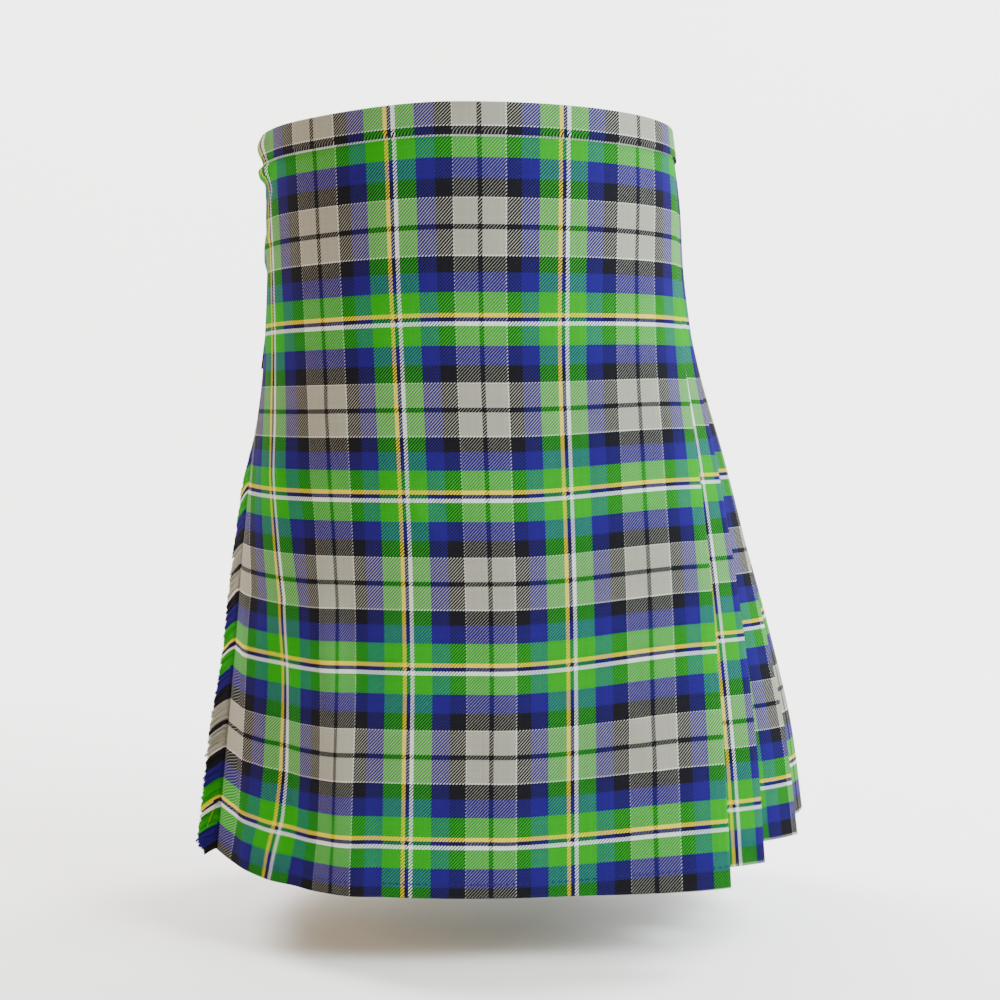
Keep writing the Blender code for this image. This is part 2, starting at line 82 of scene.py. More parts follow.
DIP_DEPTH = 280.0

# Where the cloth's weft stripes lie: the depth below the top edge of each yellow line, and last of the hem,
# with its place down the tartan in repeats
WEFT_LINES = ((18.2, 0.0), (163.6, 1.0), (299.4, 2.0), (431.6, 3.0), (564.9, 4.0), (610.0, 4.338))

# The cloth isn't hung quite square. Near the left edge it is drawn to the right, and on the right it is
# lifted. Each row gives a depth and how far, and the fades say where across the apron it begins and ends.
LEFT_PULL = ((0.0, 0.0), (170.0, 3.0), (290.0, 5.0), (350.0, 13.0), (385.0, 19.0), (420.0, 18.0),
             (485.0, 19.5), (525.0, 20.0), (560.0, 18.0), (590.0, 12.0), (610.0, 9.0))
LEFT_PULL_FADE = (-28.0, -92.0)
LEFT_PULL_EDGE = (-190.0, -150.0)
RIGHT_LIFT = ((0.0, 0.0), (163.0, 2.5), (299.0, 8.5), (431.0, 11.0), (565.0, 6.5), (610.0, 5.5))
RIGHT_LIFT_FADE = (80.0, 240.0)

# Soft folds that stand out from the apron: ends across and down the cloth, half width and height. A fold
# starts at a share of its height and reaches all of it at a rate along its length.
FOLD_END_SHARE = 0.25
FOLD_END_RATE = 4.0
FOLD_COLUMNS = ("across_1", "down_1", "across_2", "down_2", "half_width", "height")
FOLDS = (
    (-78.0, 330.0, -36.0, 640.0, 28.0, 5.0),
    (-120.0, 400.0, -84.0, 650.0, 26.0, -4.0),
    (-158.0, 380.0, -140.0, 620.0, 18.0, 2.0),
    (-176.0, 8.0, -116.0, 12.0, 15.0, 5.0),
    (-174.0, 31.0, -118.0, 33.0, 10.0, 6.5),
    (-160.0, 112.0, -126.0, 84.0, 9.0, 2.4),
    (-150.0, 62.0, -112.0, 46.0, 9.0, -1.4),
    (4.0, 300.0, 34.0, 344.0, 9.0, 1.2),
    (16.0, 292.0, 46.0, 332.0, 9.0, -1.0),
    (-75.0, 205.0, -40.0, 262.0, 12.0, 0.9),
    (176.0, 470.0, 210.0, 540.0, 16.0, 1.6),
    (120.0, 90.0, 150.0, 200.0, 16.0, 0.8),
    (70.0, 380.0, 84.0, 600.0, 26.0, 1.6),
    (-112.0, 250.0, -96.0, 420.0, 18.0, 1.4),
)

# The slight unevenness of hanging cloth, least at the waist and full from one depth on. It fades out within
# a calm strip along each side edge.
SLOW_SLACK = 0.55
FINE_SLACK = 0.22
SLACK_AT_WAIST = 0.35
FULL_SLACK_DEPTH = 250.0
CALM_LEFT = 12.0
CALM_RIGHT = 30.0


def ease(amount):
    """Rises smoothly from 0 to 1 while the amount goes from 0 to 1."""
    amount = np.clip(amount, 0.0, 1.0)
    return amount * amount * (3.0 - 2.0 * amount)


def between(amount, ends):
    """Rises smoothly from 0 to 1 while the amount goes from one end to the other."""
    return ease((amount - ends[0]) / (ends[1] - ends[0]))


def smooth_read(depth, depths, values):
    """A value at any depth, on a smooth curve through the known ones."""
    slopes = np.gradient(values, depths)
    row = int(np.clip(np.searchsorted(depths, depth) - 1, 0, len(depths) - 2))
    span = depths[row + 1] - depths[row]
    t = (depth - depths[row]) / span
    start = (1 + 2 * t) * (1 - t) ** 2 * values[row] + t * (1 - t) ** 2 * span * slopes[row]
    end = t * t * (3 - 2 * t) * values[row + 1] + t * t * (t - 1) * span * slopes[row + 1]
    return float(start + end)


def freedom(depth):
    """0 where the pleats are sewn flat, rising to 1 at the hem."""
    return float(ease((depth - SEWN_DEPTH) / (KILT_LENGTH - SEWN_DEPTH) * SPREAD_EASE) / ease(SPREAD_EASE))


def weft_place(depth):
    """How far down the tartan's pattern the cloth at this depth lies."""
    known = np.array(WEFT_LINES)
    return smooth_read(depth, known[:, 0], known[:, 1]) * REPEAT


def pulled(across, depth):
    """The place across the tartan at a place across the apron."""
    reach = between(across, LEFT_PULL_FADE) * between(across, LEFT_PULL_EDGE)
    return across - np.interp(depth, *zip(*LEFT_PULL)) * reach


def lifted(depth, reach):
    """The place down the tartan, where the reach says how much of the lift on the right is felt."""
    return weft_place(depth) + np.interp(depth, *zip(*RIGHT_LIFT)) * reach


class Girth:
    """The kilt's outline in plan at one depth, read by the length round it from the middle of the front."""

    def __init__(self, depth):
        self.depth = depth
        table = np.array(GIRTHS)
        left, right, middle, back, square_left, square_right, self.stripe, self.repeat = (
            smooth_read(depth, table[:, 0], table[:, column]) for column in range(1, len(GIRTH_COLUMNS)))
        turn = np.linspace(-math.pi / 2, 3 * math.pi / 2, OUTLINE_STEPS + 1)
        across, along = np.cos(turn), np.sin(turn)
        power = 2 / np.where(across >= 0, square_right, square_left)
        self.x = np.where(across >= 0, right, left) * np.sign(across) * np.abs(across) ** power
        reach = np.where(along >= 0, back, middle + FRONT_REACH)
        self.y = middle + reach * np.sign(along) * np.abs(along) ** power
        self.lengths = np.concatenate(([0.0], np.cumsum(np.hypot(np.diff(self.x), np.diff(self.y)))))
        self.round = float(self.lengths[-1])

    def on_outline(self, lengths):
        lengths = np.asarray(lengths) % self.round
        return np.stack((np.interp(lengths, self.lengths, self.x),
                         np.interp(lengths, self.lengths, self.y)), -1)

    def outward(self, lengths):
        lengths = np.asarray(lengths)
        step = self.on_outline(lengths + OUTWARD_STEP) - self.on_outline(lengths - OUTWARD_STEP)
        step /= np.linalg.norm(step, axis=-1, keepdims=True)
        return np.stack((step[..., 1], -step[..., 0]), -1)

    def points(self, lengths, insets, rises=0.0):
        """Places in millimetres for lengths round the outline and insets from it. Rises lift the hem."""
        plan = self.on_outline(lengths) - np.asarray(insets)[..., None] * self.outward(lengths)
        dip = TOP_DIP * between(plan[..., 0], DIP_SPAN) * max(0.0, 1.0 - self.depth / DIP_DEPTH)
        height = TOP_HEIGHT - self.depth - dip + np.asarray(rises) * (self.depth / KILT_LENGTH) ** 2
        return np.concatenate((plan, np.broadcast_to(height, plan.shape[:-1])[..., None]), -1)

    def apron_length(self, across):
        return self.stripe + np.asarray(across) * self.repeat / REPEAT

    def pleat_edge(self, number):
        """The length of a pleat's outer fold. Number 0 is the apron's right edge."""
        first = self.apron_length(APRON_RIGHT_EDGE)
        last = self.round + self.apron_length(APRON_LEFT_EDGE) + COVERED_BY_APRON
        widths = np.ones(PLEAT_COUNT)
        widths[:len(PLEAT_SPREADS)] += (np.array(PLEAT_SPREADS) - 1.0) * freedom(self.depth)
        ends = np.concatenate(([0.0], np.cumsum(widths))) / widths.sum()
        outside = (last - first) / PLEAT_COUNT * (min(number, 0) + max(number - PLEAT_COUNT, 0))
        return float(first + (last - first) * np.interp(number, range(PLEAT_COUNT + 1), ends) + outside)


def apron_rise(lengths):
    """How far the apron's hem rises towards its left edge."""
    return LEFT_HEM_RISE * between(lengths, LEFT_RISE)


def fold_height(across, down):
    """How far the soft folds lift the cloth."""
    lift = np.zeros_like(across)
    for row in FOLDS:
        fold = dict(zip(FOLD_COLUMNS, row))
        way = np.array((fold["across_2"] - fold["across_1"], fold["down_2"] - fold["down_1"]))
        offset = np.stack((across - fold["across_1"], np.full_like(across, down - fold["down_1"])), -1)
        along = offset @ way / (way @ way)
        side = np.linalg.norm(offset - np.clip(along, 0.0, 1.0)[:, None] * way, axis=-1) / fold["half_width"]
        from_end = np.minimum(along, 1.0 - along)
        lift += fold["height"] * ease(1.0 - side) * ease(from_end * FOLD_END_RATE + FOLD_END_SHARE)
    return lift


def slackness(across, down):
    """How far the cloth hangs out of its smooth form, in slow waves with finer ones on them."""
    slow = np.sin(across / 31.0 + 0.9 * np.sin(down / 73.0)) * np.sin(down / 57.0 + across / 140.0 + 1.3)
    fine = np.sin(across / 13.0 + down / 41.0) * np.sin(down / 23.0 - across / 37.0 + 0.6)
    freed = SLACK_AT_WAIST + (1.0 - SLACK_AT_WAIST) * min(down / FULL_SLACK_DEPTH, 1.0)
    return (SLOW_SLACK * slow + FINE_SLACK * fine) * freed


def apron_inset(across, down):
    """The apron lies outside the other layers on the left. Its free right corner stands out at the hem."""
    corner = (across - FLARE_START) / (APRON_RIGHT_EDGE - FLARE_START)
    flare = APRON_FLARE * freedom(down) * ease(corner * SPREAD_EASE) / ease(SPREAD_EASE)
    return -APRON_OUTSET * (1.0 - between(across, OUTSET_FADE)) - flare - fold_height(across, down)


# The knife pleats' sizes stand here, because the apron's right edge folds under as the first of them
PLEAT_COUNT = 22
PRESSED_PITCH = 1.7
HEM_PITCH = 2.5
PLEAT_HEM_RISES = (7.0, 19.0, 28.0, 24.0)
PLEAT_SPREADS = (1.25, 1.3, 1.25, 1.15, 1.08)
INNER_FOLD_WIDTH = 56.0
HEM_OPENINGS_NEAR_APRON = (6.0, 8.0, 15.0, 14.0, 11.0)
HEM_OPENING = 7.5
HEM_OPENING_CHANGE = 2.0
HIDDEN_CLOTH = REPEAT / 2

# Where the outer folds of the first pleats lie on the tartan, and how much cloth each later pleat shows
FIRST_FOLDS = (APRON_RIGHT_EDGE, 285.0, 310.0)
PLEAT_SHOWS = 27.0
PLEATS_TO_READ = 28


def pleat_rise(number):
    """How far a pleat's hem rises. The spread pleats lean outwards, so their hems lie highest."""
    known = (0.0, 1.0, 2.0, 3.0, 12.0, PLEAT_COUNT + 1.0)
    return float(np.interp(number, known, (0.0, *PLEAT_HEM_RISES, LEFT_HEM_RISE)))


def pleat_cloth(number):
    """How far across the cloth a pleat's outer fold lies. A whole repeat is hidden in each pleat."""
    shown = np.interp(number, (0, 1, 2, 2 + PLEATS_TO_READ),
                      (*FIRST_FOLDS, FIRST_FOLDS[-1] + PLEATS_TO_READ * PLEAT_SHOWS))
    return float(shown) + REPEAT * number


def layer_inset(girth, number, layer):
    """The inset, at a pleat's outer fold, of that fold's own cloth and of the layers below it."""
    free = freedom(girth.depth)
    pressed = PRESSED_PITCH + (HEM_PITCH - PRESSED_PITCH) * free
    if number + 1 < len(HEM_OPENINGS_NEAR_APRON):
        at_hem = HEM_OPENINGS_NEAR_APRON[max(number + 1, 0)]
    else:
        at_hem = HEM_OPENING + HEM_OPENING_CHANGE * math.sin(1.9 * number)
    spread = PRESSED_PITCH + (at_hem - PRESSED_PITCH) * free
    inset = (0.0, pressed, pressed + spread, 2 * pressed + spread, 3 * pressed + spread,
             3 * pressed + 2 * spread, 4 * pressed + 2 * spread)[layer]
    if number == 0 and layer < 2:
        inset += float(apron_inset(np.array([APRON_RIGHT_EDGE]), girth.depth)[0])
    return inset


def inner_fold(girth, number, turned):
    """The length and inset of a pleat's inner fold, before or after the cloth turns."""
    near_edge, far_edge = girth.pleat_edge(number - 1), girth.pleat_edge(number - 2)
    reveal = girth.pleat_edge(number) - near_edge
    share = min(max((INNER_FOLD_WIDTH - reveal) / reveal, 0.2), 0.9)
    near, far = (4, 6) if turned else (3, 5)
    near_inset, far_inset = layer_inset(girth, number - 1, near), layer_inset(girth, number - 2, far)
    return near_edge + (far_edge - near_edge) * share, near_inset + (far_inset - near_inset) * share


def under_face(girth, number):
    """Knots of length, inset, hem rise and place across the cloth, from a pleat's outer to its inner fold."""
    edge, before = girth.pleat_edge(number), girth.pleat_edge(number - 1)
    length, inset = inner_fold(girth, number, False)
    cloth = pleat_cloth(number)
    return [(edge, layer_inset(girth, number, 1), pleat_rise(number), cloth + 1.5, 1),
            (before, layer_inset(girth, number - 1, 3), pleat_rise(number), cloth + (edge - before), 5),
            (length, inset, pleat_rise(number + 0.5), cloth + HIDDEN_CLOTH - 1.0, 4)]


def top_face(girth, number):
    """Knots from the inner fold of the pleat before up to this pleat's outer fold."""
    edge, before, further = (girth.pleat_edge(number - back) for back in range(3))
    length, inset = inner_fold(girth, number - 1, True)
    cloth, reveal, rise = pleat_cloth(number), edge - before, pleat_rise(number)
    start = pleat_cloth(number - 1) + HIDDEN_CLOTH + 1.0
    seen = cloth - reveal
    return [(length, inset, pleat_rise(number - 0.5), start, 2),
            (further, layer_inset(girth, number - 2, 4), rise, start + (seen - start) * 0.4, 3),
            (before, layer_inset(girth, number - 1, 2), rise, seen, 5),
            (edge, layer_inset(girth, number, 0), rise, cloth, 7)]


def fine_path(knots):
    """Points between the knots, which each say how many steps lead to them. A turn of the cloth is one step,
    with a point of its own that stands out."""
    fine = [np.array(knots[0][:4])]
    for (*start, _), (*end, steps) in zip(knots, knots[1:]):
        start, end = np.array(start), np.array(end)
        for step in range(1, steps + 1):
            share = step / steps
            fine.append(start + (end - start) * share)
        if steps == 1:
            middle = (start + end) / 2
            middle[0] += math.copysign(0.5 * abs(end[1] - start[1]), start[0] - fine[-3][0])
            fine.insert(-1, middle)
    return np.array(fine)


def cloth_piece(name, rows, uvs, wall=CLOTH_WALL, holes=()):
    """A thin sheet of woven cloth or leather: a grid through rows of places, given its thickness both ways.
    Its map holds the place across and down the tartan, in metres."""
    points, places = np.array(rows) * MM, np.array(uvs) * MM
    down, across = points.shape[:2]
    index = np.arange(down * across).reshape(down, across)
    quads = np.stack((index[:-1, :-1], index[1:, :-1], index[1:, 1:], index[:-1, 1:]), -1)
    keep = np.ones((down - 1, across - 1), bool)
    for row, column in holes:
        keep[row, column] = False
    quads = quads[keep]
    mesh = bpy.data.meshes.new(name)
    mesh.from_pydata(points.reshape(-1, 3), [], quads.tolist())
    layer = mesh.uv_layers.new(name="cloth")
    layer.data.foreach_set("uv", places.reshape(-1, 2)[quads.ravel()].astype(np.float32).ravel())
    piece = bpy.data.objects.new(name, mesh)
    bpy.context.collection.objects.link(piece)
    thicken = piece.modifiers.new("thickness", "SOLIDIFY")
    thicken.thickness = wall * MM
    thicken.offset = 0.0
    thicken.use_even_offset = True
    bpy.context.view_layer.objects.active = piece
    bpy.ops.object.modifier_apply(modifier=thicken.name)
    mesh.shade_smooth()
    mesh.set_sharp_from_angle(angle=math.radians(60))
    return piece


class Socket:
    """One output of a material's node. Sums and products of such outputs add their own Math nodes."""

    def __init__(self, tree, output):
        self.tree = tree
        self.output = output

    def node(self, kind, settings, inputs, output=0):
        """Adds any node: first its settings, then the values or links of its sockets."""
        made = self.tree.nodes.new(kind)
        for name, value in settings.items():
            if name == "stops":
                ramp = made.color_ramp
                ramp.interpolation = "CONSTANT"
                for place, (position, colour) in enumerate(value):
                    stop = ramp.elements[place] if place < 2 else ramp.elements.new(position)
                    stop.position = position
                    stop.color = colour
            else:
                setattr(made, name, value)
        for name, value in inputs.items():
            if isinstance(value, Socket):
                self.tree.links.new(value.output, made.inputs[name])
            else:
                made.inputs[name].default_value = value
        return Socket(self.tree, made.outputs[output])

    def reckon(self, operation, *others):
        return self.node("ShaderNodeMath", {"operation": operation}, dict(enumerate((self, *others))))

    def __add__(self, other):
        return self.reckon("ADD", other)

    def __sub__(self, other):
        return self.reckon("SUBTRACT", other)

    def __mul__(self, other):
        return self.reckon("MULTIPLY", other)

    def __truediv__(self, other):
        return self.reckon("DIVIDE", other)

    def __lt__(self, other):
        return self.reckon("LESS_THAN", other)

    __radd__ = __add__
    __rmul__ = __mul__

    def fraction(self):
        return self.reckon("FRACT")

    def rise(self, low, high):
        """0 below the low value and 1 above the high one, with a soft step between."""
        ends = {"From Min": low, "From Max": high}
        return self.node("ShaderNodeMapRange", {"interpolation_type": "SMOOTHSTEP"}, {"Value": self, **ends})

    def blend(self, first, second):
        """A colour between two, by this factor."""
        return self.node("ShaderNodeMix", {"data_type": "RGBA"}, {0: self, 6: first, 7: second}, 2)

    def shaded(self, shade):
        """This colour, darkened by a number."""
        grey = self.node("ShaderNodeCombineXYZ", {}, {0: shade, 1: shade, 2: shade})
        return self.node("ShaderNodeMix", {"data_type": "RGBA", "blend_type": "MULTIPLY"},
                         {0: 1.0, 6: self, 7: grey}, 2)

    def part(self, number):
        return self.node("ShaderNodeSeparateXYZ", {}, {0: self}, number)


# One repeat of the tartan, charted in millimetres from the left edge of the yellow line. A yarn's
# strength says how much of it shows where it crosses another yarn.
YARNS = {
    "green": (0.008, 0.170, 0.005, 0.5),
    "blue": (0.009, 0.004, 0.086, 0.56),
    "black": (0.005, 0.005, 0.007, 0.53),
    "grey": (0.180, 0.178, 0.148, 0.0),
    "pale": (0.40, 0.42, 0.38, 0.10),
    "yellow": (0.43, 0.35, 0.000, 0.62),
    "navy": (0.006, 0.003, 0.036, 0.58),
    "white": (0.42, 0.47, 0.47, 0.52),
}
SETT = (
    ("yellow", 3.0), ("navy", 2.9), ("white", 2.7), ("green", 13.95), ("blue", 14.1), ("black", 12.4),
    ("pale", 0.9), ("grey", 17.3), ("black", 3.3), ("grey", 17.4), ("pale", 0.9), ("black", 10.8),
    ("blue", 13.7), ("green", 14.65),
)
TWILL = 2.5
WARP_SHARE = 0.43
YARN_WIDTH = 0.55
HALF_YELLOW = 1.5
TO_MILLIMETRES = 1000.0

# The row of stitches that holds the hem, which is turned up to this place on the tartan
HEM_STITCH = 545.0
STITCH_PITCH = 5.2
STITCH_SHARE = 0.62
STITCH_HALF_WIDTH = 0.55
STITCH_THREAD = (0.010, 0.010, 0.060, 1.0)
HEM_STEP_HALF_WIDTH = 0.8


def new_material(name):
    made = bpy.data.materials.new(name)
    made.use_nodes = True
    shader = made.node_tree.nodes["Principled BSDF"]
    return made, shader, Socket(made.node_tree, shader.outputs[0])


def fix(shader, **values):
    for name, value in values.items():
        shader.inputs[name.replace("_", " ")].default_value = value


def join(shader, name, socket):
    socket.tree.links.new(socket.output, shader.inputs[name])


def sett_yarn(place):
    """The yarn's colour and strength at a place across or down the cloth."""
    stops, position = [], 0.0
    for yarn, width in SETT:
        stops.append((position / REPEAT, YARNS[yarn]))
        position += width
    share = ((place + HALF_YELLOW) / REPEAT).fraction()
    colour = share.node("ShaderNodeValToRGB", {"stops": stops}, {0: share})
    return colour, Socket(colour.tree, colour.output.node.outputs["Alpha"])


def tartan_material(name):
    """Worsted wool in a two-and-two twill whose ribs run up to the right. Yarns differ a little in shade."""
    made, shader, start = new_material(name)
    place = start.node("ShaderNodeUVMap", {"uv_map": "cloth"}, {})
    across, down = place.part(0) * TO_MILLIMETRES, place.part(1) * TO_MILLIMETRES
    (warp, warp_strength), (weft, weft_strength) = sett_yarn(across), sett_yarn(down)
    rib = ((across + down) / TWILL).fraction()
    woven = (rib < (warp_strength - weft_strength) * 0.5 + WARP_SHARE).blend(weft, warp)
    warp_number, weft_number = (way.reckon("FLOOR") for way in (across / YARN_WIDTH, down / YARN_WIDTH))
    crossing = start.node("ShaderNodeCombineXYZ", {}, {0: warp_number, 1: weft_number})
    warp_yarn = start.node("ShaderNodeTexWhiteNoise", {"noise_dimensions": "1D"}, {"W": warp_number})
    weft_yarn = start.node("ShaderNodeTexWhiteNoise", {"noise_dimensions": "1D"}, {"W": weft_number + 0.37})
    speck = start.node("ShaderNodeTexWhiteNoise", {"noise_dimensions": "2D"}, {"Vector": crossing})
    cloud = start.node("ShaderNodeTexNoise", {}, {"Vector": place, "Scale": 22.0, "Detail": 3.0})
    shade = 0.80 + warp_yarn * 0.10 + weft_yarn * 0.08 + speck * 0.12 + cloud * 0.20
    from_stitch = (down - HEM_STITCH).reckon("ABSOLUTE")
    stitch = (from_stitch < STITCH_HALF_WIDTH) * ((across / STITCH_PITCH).fraction() < STITCH_SHARE)
    join(shader, "Base Color", (stitch * 0.8).blend(woven.shaded(shade), STITCH_THREAD))
    ridge = (rib - 0.5).reckon("ABSOLUTE") * -2.0 + 1.0
    hem_step = down.rise(HEM_STITCH - HEM_STEP_HALF_WIDTH, HEM_STITCH + HEM_STEP_HALF_WIDTH)
    height = ridge * 0.5 + speck * 0.25 + hem_step * 2.0 - stitch * 0.8
    bump = start.node("ShaderNodeBump", {}, {"Strength": 0.5, "Distance": 0.00022, "Height": height})
    join(shader, "Normal", bump)
    fix(shader, Roughness=0.9, Specular_IOR_Level=0.05)
    return made


tartan = tartan_material("tartan_twill")
FIRST_CLOTH_DEPTH = 1.6
CLOTH_DEPTHS = np.linspace(FIRST_CLOTH_DEPTH, KILT_LENGTH, 147)
APRON_STEPS = 132

across = np.linspace(APRON_LEFT_EDGE, APRON_RIGHT_EDGE, APRON_STEPS)
calm = (between(across, (APRON_RIGHT_EDGE, APRON_RIGHT_EDGE - CALM_RIGHT))
        * between(across, (APRON_LEFT_EDGE, APRON_LEFT_EDGE + CALM_LEFT)))
rows, places = [], []
for depth in CLOTH_DEPTHS:
    girth = Girth(depth)
    lengths = girth.apron_length(across)
    insets = apron_inset(across, depth) - slackness(across, depth) * calm
    last_steps = [(lengths[-2], insets[-2], 0.0, across[-2], 0),
                  (lengths[-1], insets[-1], 0.0, across[-1], 2)]
    turned = fine_path(last_steps + under_face(girth, 0))[3:]
    rows.append(girth.points(np.concatenate((lengths, turned[:, 0])), np.concatenate((insets, turned[:, 1])),
                             np.concatenate((apron_rise(lengths), turned[:, 2]))))
    cloth = np.concatenate((pulled(across, depth), turned[:, 3]))
    places.append(np.stack((cloth, lifted(depth, between(cloth, RIGHT_LIFT_FADE))), -1))
over_apron = cloth_piece("over_apron_cloth", rows, places)
over_apron.data.materials.append(tartan)
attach(over_apron, "root")
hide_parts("over_apron")

# Knife pleats
# Two lengths of the same cloth, folded into twenty-two knife pleats round the side and the back. Each hides a
# whole repeat of the tartan, so the pattern runs on from one to the next. They are stitched flat above the hips.
PLEAT_LENGTHS = {"pleats_right": (1, 11), "pleats_left": (12, 22)}
PLEAT_LIFT = 1.2
PLEAT_LIFT_FADE = (11.0, 4.0)

for node, (first, last) in PLEAT_LENGTHS.items():
    rows, places = [], []
    for depth in CLOTH_DEPTHS[::2]:
        girth = Girth(depth)
        knots = []
        for number in range(first, last + 1):
            knots += top_face(girth, number) + under_face(girth, number)
        path = fine_path(knots)
        rows.append(girth.points(path[:, 0], path[:, 1], path[:, 2]))
        cloth = path[:, 3]
        numbers = (cloth - APRON_RIGHT_EDGE) / (REPEAT + PLEAT_SHOWS)
        places.append(np.stack((cloth, lifted(depth, PLEAT_LIFT * between(numbers, PLEAT_LIFT_FADE))), -1))
    pleats = cloth_piece(node + "_cloth", rows, places)
    pleats.data.materials.append(tartan)
    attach(pleats, "root")
    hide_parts(node)

# Under apron
# The hidden front panel of the same wool. It goes on from the last pleat, lies behind the over apron and is
# sewn into a waistband of its own.
UNDER_APRON_INSET = 4.2
UNDER_APRON_SETTLES = 90.0
UNDER_APRON_END = 130.0
UNDER_APRON_STEPS = 80

# How far past the last pleat's inner fold this panel lies on the tartan, and its first two places before that
PATTERN_START = 40.0
PATTERN_BEFORE = (34.0, 18.0)


def under_apron_line(girth, steps):
    """Lengths and insets along the under apron, from the last pleat's fold to its hidden end."""
    first = girth.pleat_edge(PLEAT_COUNT) - girth.round
    lengths = np.linspace(first, UNDER_APRON_END, steps)
    start = layer_inset(girth, PLEAT_COUNT, 2)
    return lengths, start + (UNDER_APRON_INSET - start) * ease((lengths - first) / UNDER_APRON_SETTLES)


rows, places = [], []
for depth in CLOTH_DEPTHS[::2]:
    girth = Girth(depth)
    joint = np.array([knot[:4] for knot in top_face(girth, PLEAT_COUNT + 1)[:2]])
    lengths, insets = under_apron_line(girth, UNDER_APRON_STEPS)
    cloth = pleat_cloth(PLEAT_COUNT) + HIDDEN_CLOTH + PATTERN_START + (lengths - lengths[0])
    rows.append(np.concatenate((girth.points(joint[:, 0] - girth.round, joint[:, 1], joint[:, 2]),
                                girth.points(lengths, insets, apron_rise(lengths)))))
    cloth = np.concatenate((cloth[0] - np.array(PATTERN_BEFORE), cloth))
    places.append(np.stack((cloth, np.full(len(cloth), weft_place(depth))), -1))
under_apron = cloth_piece("under_apron_cloth", rows, places)
under_apron.data.materials.append(tartan)
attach(under_apron, "root")
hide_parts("under_apron")

# Waistband
# A strip of the same tartan along the top edge. Its lower edge is turned under and felled to the kilt, and
# its top is turned in over the edge of the pleats.
BAND_WALL = 1.0
BAND_DEPTH = 23.5
BAND_COVER = 10.9
BAND_GAP = 0.7
BAND_FIRST_STRIPE = 0.54
BAND_TURN_SINK = 0.9
BAND_TURN_CLOTH = 11.0
BAND_DOWN_STRETCH = 1.04
BAND_BACK_STRETCH = 1.18
UNDER_BAND_STRETCH = 1.02
BAND_PAST_PLEATS = 1.6
UNDER_BAND_STARTS = 4.0

# Half the walls that the band and the straps have to clear
APRON_HALF_WALL = 0.75
PLEAT_HALF_WALL = 0.6
BAND_HALF_WALL = 0.6

# The band's section from its foot to its turned-in top: depth, how far it sinks in, share of the turned part
BAND_SECTION = (
    (BAND_DEPTH - 0.8, 0.45, 0.0), (BAND_DEPTH, 0.15, 0.0),
    *((depth, 0.0, 0.0) for depth in np.linspace(BAND_DEPTH - 1.2, 1.6, 10)),
    (0.9, 0.3, 0.0), (0.6, BAND_TURN_SINK, 0.0), (0.6, 0.0, 0.35), (0.6, 0.0, 0.7), (0.6, 0.0, 1.0),
)


def band_piece(name, node, line):
    """The strip's outer face, with a rounded foot and top, and its turned-in top."""
    rows, places = [], []
    for depth, sink, turned in BAND_SECTION:
        girth = Girth(depth)
        lengths, outer, inner, across = line(girth)
        if turned == 0.0:
            insets = outer + sink
            pattern = BAND_FIRST_STRIPE * REPEAT + depth / BAND_DOWN_STRETCH
        else:
            insets = outer + BAND_TURN_SINK + (inner - outer - BAND_TURN_SINK) * turned
            pattern = BAND_FIRST_STRIPE * REPEAT - BAND_TURN_CLOTH * turned
        rows.append(girth.points(lengths, insets))
        places.append(np.stack((across, np.full_like(across, pattern)), -1))
    band = cloth_piece(name, rows, places, BAND_WALL)
    band.data.materials.append(tartan)
    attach(band, "root")
    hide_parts(node)
    return band


def band_line(girth):
    """Lengths, insets and places across the cloth of the waistband over the apron and round the pleats."""
    across = np.linspace(APRON_LEFT_EDGE, APRON_RIGHT_EDGE, 120)
    lengths = girth.apron_length(across)
    insets = apron_inset(across, girth.depth)
    off_apron = APRON_HALF_WALL + BAND_GAP + BAND_HALF_WALL
    off_pleats = PLEAT_HALF_WALL + BAND_GAP + BAND_HALF_WALL
    folded_under = girth.apron_length(APRON_RIGHT_EDGE) - INNER_FOLD_WIDTH
    inner = np.where(lengths < folded_under, insets + APRON_HALF_WALL, BAND_COVER)
    last = girth.pleat_edge(PLEAT_COUNT) + BAND_PAST_PLEATS
    behind = np.linspace(lengths[-1], last, 260)[1:]
    tartan_behind = across[-1] + (behind - behind[0]) * BAND_BACK_STRETCH
    return (np.concatenate((lengths, behind)),
            np.concatenate((insets - off_apron, np.full(len(behind), -off_pleats))),
            np.concatenate((inner, np.full(len(behind), BAND_COVER))),
            np.concatenate((across, tartan_behind)))


def under_band_line(girth):
    """The same for the waistband of the under apron, which starts a little after its panel does."""
    lengths, insets = under_apron_line(girth, 60)
    lengths[0] += UNDER_BAND_STARTS
    off_apron = PLEAT_HALF_WALL + BAND_GAP + BAND_HALF_WALL
    return lengths, insets - off_apron, insets + PLEAT_HALF_WALL, lengths * UNDER_BAND_STRETCH


waistband = band_piece("waistband_cloth", "waistband", band_line)
under_waistband = band_piece("under_waistband_cloth", "under_waistband", under_band_line)

# Fringe
# The apron's left edge is cut raw and frayed. The warp is drawn out of its last finger's width, and the weft
# ends hang from the edge in soft locks, each in the colour of its own stripe.
FRINGE_TOP = BAND_DEPTH + 2.0
FRINGE_END = KILT_LENGTH - 1.5
LOCK_LENGTH = 20.0
LOCK_DROOP = 0.6
LOCK_TAPER = 0.3
ROOT_INSIDE = 1.0
LAST_LOCKS = (592.0, 612.0)
LAST_LOCK_LOSS = 0.45
STRAP_DEPTHS = (46.0, 185.0)
CLEAR_OF_STRAP = (-24.0, 17.0)
UPWARDS = np.array((0.0, 0.0, 1.0))

# Rows of a depth and how far outwards the locks point there, from 0 for straight on to 1 for straight out
LOCK_SPREADS = ((210.0, 0.08), (285.0, 0.40), (430.0, 0.44), (500.0, 0.68), (610.0, 0.74))

